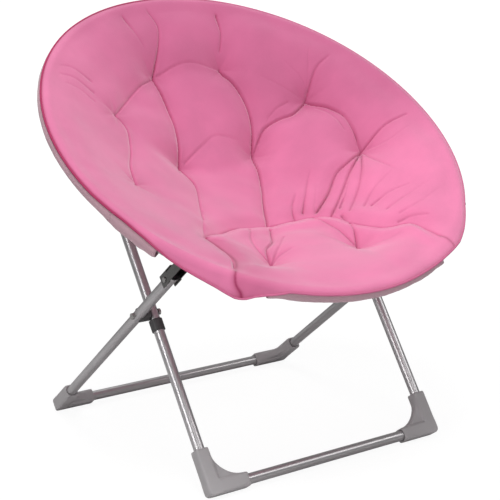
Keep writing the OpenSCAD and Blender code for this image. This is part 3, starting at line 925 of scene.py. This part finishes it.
def add_ring(bm, edges, section):
    """Extrudes a loop of edges to a new place round the ring, as section says for each angle."""
    made = bmesh.ops.extrude_edge_only(bm, edges=edges)["geom"]
    verts = [g for g in made if isinstance(g, bmesh.types.BMVert)]
    angle = np.array([math.atan2(v.co.y, v.co.x) for v in verts])
    for vert, turn, (radius, height) in zip(verts, angle, section(angle)):
        vert.co = (radius * math.cos(turn), radius * math.sin(turn), height)
    return [g for g in made if isinstance(g, bmesh.types.BMEdge)]


def groove_shade(points, rim):
    """Painted shade on the velvet where it turns in to the piping, most on the left of the ring."""
    radius, angle = polar(points)
    seam = rim.top(np.ones(len(points)))
    gap = np.hypot(radius - seam[:, 0], points[:, 2] - seam[:, 1])
    degrees = np.degrees(angle) % 360
    depth = 0.25 + 0.7 * smoothstep(degrees, 95, 115) * (1 - smoothstep(degrees, 195, 225))
    return depth * bell(gap, 3.4 * MM)


def make_cushion():
    """The whole cushion: swollen velvet on top, creased, and its lining under the rim and the bowl."""
    piece, share = cushion_top()
    stuff(piece, share)
    piece.modifiers.new("smooth", "SUBSURF").levels = 2
    apply_modifiers(piece)
    mesh = piece.data
    points = mesh_points(mesh)
    flat = points[:, :2]
    radius, angle = polar(points)
    fade = smoothstep(radius, crest_radius(), crest_radius() - 22 * MM)
    _, narrow, dark = fold_shape(flat)
    _, seat_narrow, seat_dark = seat_shape(flat)
    creases = np.where(np.abs(seat_narrow) > np.abs(narrow), seat_narrow, narrow)
    swell = 2 * MM * lumps(flat, scale=0.1, seed=3.1) + 0.8 * MM * lumps(flat, scale=0.035, seed=7.7)
    points[:, 2] -= fade * (creases - swell)
    # The seat's left fold runs on down the lip
    rim = Rim(angle)
    side, _ = seat_side(flat)
    over = (1 - fade) * rim.hang / Rim.longest * 2 * MM * bell(side, 5 * MM)
    points[:, :2] -= (over / radius * Rim.square[0])[:, None] * flat
    points[:, 2] -= over * Rim.square[1]
    # Painted shade from the folds, the tufts, the seat's fold and the piping's groove
    top_shade = np.maximum(np.maximum(fade * dark, seat_dark), groove_shade(points, rim))
    set_points(mesh, points)
    close_under(piece)
    # The painted shade is held by the velvet's top only, not by its lining
    dips = np.zeros(len(piece.data.vertices))
    dips[: len(top_shade)] = top_shade
    add_attribute(piece.data, "painted_shade", dips)
    # Painted light and shade by place on the bowl
    add_attribute(piece.data, "painted_light", painted_light_share(mesh_points(piece.data)))
    return settle(piece, "velvet", "seat_cushion", "back_cushion")


def add_attribute(mesh, name, values):
    """A value from 0 to 1 at each point of a mesh, for its material."""
    layer = mesh.attributes.new(name, "FLOAT", "POINT")
    layer.data.foreach_set("value", np.clip(values, 0, 1).astype(np.float32))


def painted_light_share(points):
    """Painted light and shade by place: darkest high on the back, lightest low on the right and on the lip.
    """
    x, s = points[:, 0], points[:, 1]
    radius, angle = polar(points)
    high = smoothstep(s + 0.45 * x, 110 * MM, 270 * MM)
    low = smoothstep(s, 80 * MM, -150 * MM)
    low_right = low * smoothstep(x - s, 60 * MM, 420 * MM)
    middle = low * smoothstep(x, -190 * MM, -90 * MM) * (1 - low_right)
    lip = Rim(angle).hang / Rim.longest * smoothstep(radius, 360 * MM, 385 * MM)
    return 0.53 - 0.48 * high + 0.5 * low_right + 0.25 * middle + 0.5 * lip


def apply_modifiers(piece):
    graph = bpy.context.evaluated_depsgraph_get()
    made = bpy.data.meshes.new_from_object(piece.evaluated_get(graph), depsgraph=graph)
    old = piece.data
    piece.modifiers.clear()
    piece.data = made
    made.name = old.name
    bpy.data.meshes.remove(old)


def to_chair(piece):
    """Moves a piece from the ring's frame to the chair's."""
    piece.data.transform(ring_matrix())
    piece.data.update()


def settle(piece, slot, *nodes):
    """Puts a piece of the ring in its place and hides the CAD nodes that it stands for."""
    to_chair(piece)
    if nodes:
        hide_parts(*nodes)
    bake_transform(piece)
    return piece


def make_backing():
    """The cloth under the cushion, gathered where it is sewn to the sleeves."""
    chair = sizes()
    bm = bmesh.new()
    grid_disc(bm, 110, chair.bowl_radius)
    piece = finish_mesh(bm, "backing_cloth", material_for("backing_cloth"))
    mesh = piece.data
    points = mesh_points(mesh)
    radius, angle = polar(points)
    share = np.clip(radius / chair.bowl_radius, 0, 1)
    under_cushion = 3.6 * MM
    pleats = 1.3 * MM * np.cos(58 * angle + 3 * np.sin(5 * angle)) * smoothstep(share, 0.72, 1)
    slack = 2.2 * MM * lumps(points[:, :2], scale=0.09, seed=1.3) * smoothstep(share, 1, 0.8)
    points[:, 2] = bowl_under(radius) - under_cushion + pleats + slack
    set_points(mesh, points)
    add_thickness(piece, 0.8 * MM)
    piece = settle(piece, "backing_cloth", "seat_backing", "back_backing")


def add_thickness(piece, thickness):
    shell = piece.modifiers.new("thickness", "SOLIDIFY")
    shell.thickness = thickness
    shell.offset = -1
    apply_modifiers(piece)


PIPING_RADIUS = 1.8 * MM
CLOTH_THICKNESS = 0.9 * MM
# Degrees round the ring in one cell of a sleeve
SLEEVE_CELL = 0.7


def ring_tube(bm, radius, start, end, steps, sides=24):
    """A tube along the hoops' centre line from start to end degrees, as a spun circle."""
    circle = bmesh.ops.create_circle(bm, segments=sides, radius=radius)["verts"]
    out = Matrix.Translation((sizes().ring_radius, 0, 0))
    turn = Matrix.Rotation(math.radians(start), 4, "Z") @ out
    turn = turn @ Matrix.Rotation(math.pi / 2, 4, "X")
    bmesh.ops.transform(bm, matrix=turn, verts=circle)
    edges = list({e for v in circle for e in v.link_edges})
    whole = abs(end - start) >= 360
    bmesh.ops.spin(
        bm,
        geom=circle + edges,
        cent=(0, 0, 0),
        axis=(0, 0, 1),
        angle=math.radians(end - start),
        steps=steps,
        use_merge=whole,
    )
    bmesh.ops.recalc_face_normals(bm, faces=bm.faces)


def make_piping():
    """The piping along the cushion's seam, which follows the lip, painted dark as shade and painted light
    on its lit side.
    """
    bm = bmesh.new()
    ring_tube(bm, PIPING_RADIUS, 0, 360, steps=420, sides=8)
    piece = finish_mesh(bm, "edge_piping", material_for("piping"))
    points = mesh_points(piece.data)
    radius, angle = polar(points)
    seam = Rim(angle).top(np.ones(len(angle)))
    out = radius - sizes().ring_radius + seam[:, 0]
    height = points[:, 2] + seam[:, 1]
    set_points(piece.data, np.column_stack((out * np.cos(angle), out * np.sin(angle), height)))
    degrees = np.degrees(angle) % 360
    # Painted light on the piping's lit side, painted shade on the rest
    lit = smoothstep(degrees, 205, 240) + 1 - smoothstep(degrees, 70, 105)
    add_attribute(piece.data, "lit", lit)
    settle(piece, "velvet")


def sleeve_tubes(name, spans, loose_ends):
    """Cloth tubes on the hoops, one for each span of degrees, slack below and wider at loose ends."""
    bm = bmesh.new()
    for start, end in spans:
        first = len(bm.verts)
        steps = max(12, int((end - start) / SLEEVE_CELL))
        ring_tube(bm, sizes().sleeve_radius, start, end, steps)
        bm.verts.ensure_lookup_table()
        for vert in bm.verts[first:]:
            loosen(vert, loose_ends)
    piece = finish_mesh(bm, name, material_for("backing_cloth"))
    add_thickness(piece, CLOTH_THICKNESS)
    return piece


def loosen(vert, loose_ends):
    """Lets a sleeve's cloth stand off its hoop, more below and at its open ends."""
    chair = sizes()
    angle = math.atan2(vert.co.y, vert.co.x)
    centre = Vector((math.cos(angle), math.sin(angle), 0)) * chair.ring_radius
    out = (vert.co - centre).normalized()
    around = math.atan2(out.z, out.xy.dot(centre.xy.normalized()))
    at = Vector((math.cos(angle) * 9, math.sin(angle) * 9, 5 + 0.6 * math.sin(around)))
    turned = math.degrees(around) % 360
    below = 1 if turned > 270 else 1 - smoothstep(turned, 0, 25) * (1 - smoothstep(turned, 210, 250))
    degrees = math.degrees(angle) % 360
    free = 0.3 + 0.7 * smoothstep(degrees, 196, 206)
    slack = (0.7 + 1.1 * noise.noise(at) + 0.7 * noise.noise(at * 4.3)) * below * free
    # The left side sleeve hangs in a fold before its open end
    hanging = smoothstep(degrees, 198, 212) * (1 - smoothstep(degrees, 215, 217))
    slack += (6 + 3 * noise.noise(at * 2.6)) * hanging * max(0, math.cos(around + math.radians(60))) ** 1.5
    for end_at in loose_ends:
        away = abs((degrees - end_at + 180) % 360 - 180) * math.radians(1) * chair.ring_radius / MM
        slack += 3 * math.exp(-((away / 13) ** 2)) * below
    vert.co += out * slack * MM


def make_sleeve(name, node, body, spans, loose_ends=()):
    """A cloth sleeve, in one length or more, that stands for a CAD node."""
    piece = sleeve_tubes(name, spans, loose_ends)
    to_chair(piece)
    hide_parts(node)
    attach(piece, body)


def make_hinge_covers():
    """Cloth over the hoops' hinges."""
    spans = ((187, 202.5), (337.5, 353))
    piece = settle(sleeve_tubes("hinge_covers", spans, ()), "backing_cloth")


class ChairOperator:
    """What every operator here shares: it can be undone and always finishes."""

    bl_options = {"REGISTER", "UNDO"}

    def execute(self, context):
        self.make()
        return {"FINISHED"}


class CHAIR_OT_stage(ChairOperator, bpy.types.Operator):
    """Sets the camera, the soft lights and the pale floor"""

    bl_idname = "chair.stage"
    bl_label = "Stage"

    # The camera that fits the photograph, measured from the crossing of the legs
    camera_place = (-1.2297, -1.7929, 0.8629)
    azimuth = math.radians(-33.68)
    elevation = math.radians(13.06)
    roll = math.radians(-0.62)
    focal_pixels = 1212
    photo_pixels = 500
    # The white surroundings' strength and the floor's colour, and what the shiny tubes reflect of them
    ambient = 0.18
    ambient_in_metal = 0.24
    floor_colour = (0.86, 0.86, 0.86)
    floor_in_metal = (0.56, 0.56, 0.56)
    aim = Vector((0, 0, 0.4))

    def make(self):
        self.add_camera()
        self.add_world()
        self.add_floor()
        self.add_light("key", (-0.6, -0.7, 3.3), 1.3, 58)
        self.add_light("back", (0.2, 1.6, 3.0), 1.5, 24)
        self.add_light("front", (-0.9, -3.0, 1.9), 1.2, 13)
        self.add_light("strip", (-2.9, -0.9, 1.2), 0.5, 20, 2.2)
        self.add_light("fill", (1.9, -2.1, 2.4), 2.4, 14, 0.7)

    def add_camera(self):
        a, e, r = self.azimuth, self.elevation, self.roll
        back = Vector((math.sin(a) * math.cos(e), -math.cos(a) * math.cos(e), math.sin(e)))
        right = Vector((math.cos(a), math.sin(a), 0))
        up = back.cross(right)
        turned_right = right * math.cos(r) + up * math.sin(r)
        turned_up = up * math.cos(r) - right * math.sin(r)
        data = bpy.data.cameras.new("camera")
        data.sensor_width = 36
        data.lens = self.focal_pixels / self.photo_pixels * data.sensor_width
        camera = bpy.data.objects.new("camera", data)
        bpy.context.scene.collection.objects.link(camera)
        axes = Matrix((turned_right, turned_up, back)).transposed().to_4x4()
        place = Vector(self.camera_place) + Vector((0, CROSSING.y, 0))
        camera.matrix_world = Matrix.Translation(place) @ axes
        bpy.context.scene.camera = camera

    def add_world(self):
        world = bpy.data.worlds.new("studio")
        world.use_nodes = True
        bpy.context.scene.world = world
        tree = world.node_tree
        tree.nodes.clear()
        ray = add_node(tree, "ShaderNodeLightPath").outputs
        seen = add_math(tree, "MAXIMUM", ray["Is Camera Ray"], ray["Is Transmission Ray"])
        ambient = add_node(tree, "ShaderNodeBackground", Color=(1, 1, 1, 1))
        strength = ramp(tree, ray["Is Glossy Ray"], self.ambient, self.ambient_in_metal)
        tree.links.new(strength, ambient.inputs["Strength"])
        white = add_node(tree, "ShaderNodeBackground", Color=(1, 1, 1, 1), Strength=1.0)
        sky = mix_shaders(tree, seen, ambient.outputs["Background"], white.outputs["Background"])
        tree.links.new(sky, add_node(tree, "ShaderNodeOutputWorld").inputs["Surface"])

    def add_floor(self):
        bm = bmesh.new()
        bmesh.ops.create_circle(bm, cap_ends=True, segments=96, radius=60)
        material, tree, shader = new_material("floor", self.floor_colour, roughness=0.9)
        shader.inputs["Specular IOR Level"].default_value = 0.0
        place = add_node(tree, "ShaderNodeTexCoord").outputs["Object"]
        away = add_node(tree, "ShaderNodeVectorMath", {"operation": "LENGTH"})
        tree.links.new(place, away.inputs[0])
        # Whiter with distance: shares of white at these metres from the chair
        far = ramp(tree, away.outputs["Value"], 0.86, 1, 0.7, 2.2)
        ray = add_node(tree, "ShaderNodeLightPath").outputs
        seen = add_math(tree, "MULTIPLY", ray["Is Camera Ray"], far)
        white = add_node(tree, "ShaderNodeEmission", Color=(1, 1, 1, 1), Strength=1.08)
        surface = mix_shaders(tree, seen, shader.outputs["BSDF"], white.outputs["Emission"])
        tree.links.new(surface, tree.nodes["Material Output"].inputs["Surface"])
        colour = mix_colour(tree, ray["Is Glossy Ray"], self.floor_colour, self.floor_in_metal)
        tree.links.new(colour, shader.inputs["Base Color"])
        finish_mesh(bm, "floor", material)

    def add_light(self, name, place, size, power, height=None):
        data = bpy.data.lights.new(name, "AREA")
        data.shape = "RECTANGLE" if height else "DISK"
        data.size = size
        data.size_y = height or size
        data.energy = power
        light = bpy.data.objects.new(name, data)
        bpy.context.scene.collection.objects.link(light)
        turn = (self.aim - Vector(place)).to_track_quat("-Z", "Y").to_matrix().to_4x4()
        light.matrix_world = Matrix.Translation(place) @ turn


class CHAIR_OT_tubes(ChairOperator, bpy.types.Operator):
    """Paints the leg tubes, the floor bars and the hoops"""

    bl_idname = "chair.tubes"
    bl_label = "Tubes"

    def make(self):
        for end in ("front", "rear"):
            dressed(end + "_bar", "silver_paint")
            for side in ("left", "right"):
                dressed(f"{end}_leg_{side}", "silver_paint")
        for hoop in ("front_hoop", "back_hoop"):
            dressed(hoop, "silver_paint", 0.3 * MM)


class CHAIR_OT_feet(ChairOperator, bpy.types.Operator):
    """Finishes the four moulded corner feet"""

    bl_idname = "chair.feet"
    bl_label = "Feet"

    def make(self):
        for end in ("front", "rear"):
            for side in ("left", "right"):
                moulded(f"foot_{end}_{side}", "grey_plastic")


class CHAIR_OT_fittings(ChairOperator, bpy.types.Operator):
    """Finishes the brackets, bolts, clips and caps"""

    bl_idname = "chair.fittings"
    bl_label = "Fittings"
    fasteners = (
        "bracket_rivets",
        "crossing_bolts",
        "crossing_nuts",
        "seat_pivot_bolts",
        "seat_pivot_nuts",
        "hinge_rivets",
        "back_lug_bolts",
    )

    def make(self):
        for node in ("leg_bracket_left", "leg_bracket_right"):
            dressed(node, "zinc_steel", 0.5 * MM, finish="bracket_steel")
        for node in self.fasteners:
            dressed(node, "zinc_steel", 0.4 * MM)
        for node in ("leg_clips", "crossing_spacers"):
            dressed(node, "grey_plastic", 0.6 * MM, finish="clip_plastic")
        for node in ("front_leg_caps", "rear_leg_caps", "back_lug_washers"):
            dressed(node, "black_plastic", 0.8 * MM)


class CHAIR_OT_cushion(ChairOperator, bpy.types.Operator):
    """Makes the tufted velvet cushion and its piping"""

    bl_idname = "chair.cushion"
    bl_label = "Cushion"

    def make(self):
        cushion = make_cushion()
        make_piping()


class CHAIR_OT_cloth(ChairOperator, bpy.types.Operator):
    """Makes the backing under the cushion and the sleeves on the hoops"""

    bl_idname = "chair.cloth"
    bl_label = "Backing and sleeves"

    # Where each sleeve lies, in degrees round the ring
    front = ((243, 297),)
    sides = ((202, 216), (324, 338))
    back = ((-7.5, 45), (54, 126), (135, 187.5))

    def make(self):
        make_backing()
        make_sleeve("front_sleeve_cloth", "front_sleeve", "front_hoop", self.front, (243, 297))
        make_sleeve("side_sleeve_cloth", "side_sleeves", "front_hoop", self.sides, (216, 324))
        make_sleeve("back_sleeve_cloth", "back_sleeve", "back_hoop", self.back)
        make_hinge_covers()


class CHAIR_PT_panel(bpy.types.Panel):
    """Lists the pieces of the chair"""

    bl_idname = "CHAIR_PT_panel"
    bl_label = "Saucer Chair"
    bl_space_type = "VIEW_3D"
    bl_region_type = "UI"
    bl_category = "Saucer Chair"

    def draw(self, context):
        for operator in OPERATORS:
            self.layout.operator(operator.bl_idname)


OPERATORS = (
    CHAIR_OT_stage,
    CHAIR_OT_tubes,
    CHAIR_OT_feet,
    CHAIR_OT_fittings,
    CHAIR_OT_cushion,
    CHAIR_OT_cloth,
)
CLASSES = (ChairSizes, ChairColours, *OPERATORS, CHAIR_PT_panel)


def register():
    for one in CLASSES:
        bpy.utils.register_class(one)
    bpy.types.Scene.chair_sizes = PointerProperty(type=ChairSizes)
    bpy.types.Scene.chair_colours = PointerProperty(type=ChairColours)


def unregister():
    del bpy.types.Scene.chair_colours
    del bpy.types.Scene.chair_sizes
    for one in reversed(CLASSES):
        bpy.utils.unregister_class(one)


def main():
    register()
    bpy.context.scene.view_settings.view_transform = "Standard"
    bpy.ops.chair.stage()
    bpy.ops.chair.tubes()
    bpy.ops.chair.feet()
    bpy.ops.chair.fittings()
    bpy.ops.chair.cushion()
    bpy.ops.chair.cloth()


if __name__ == "__main__":
    main()
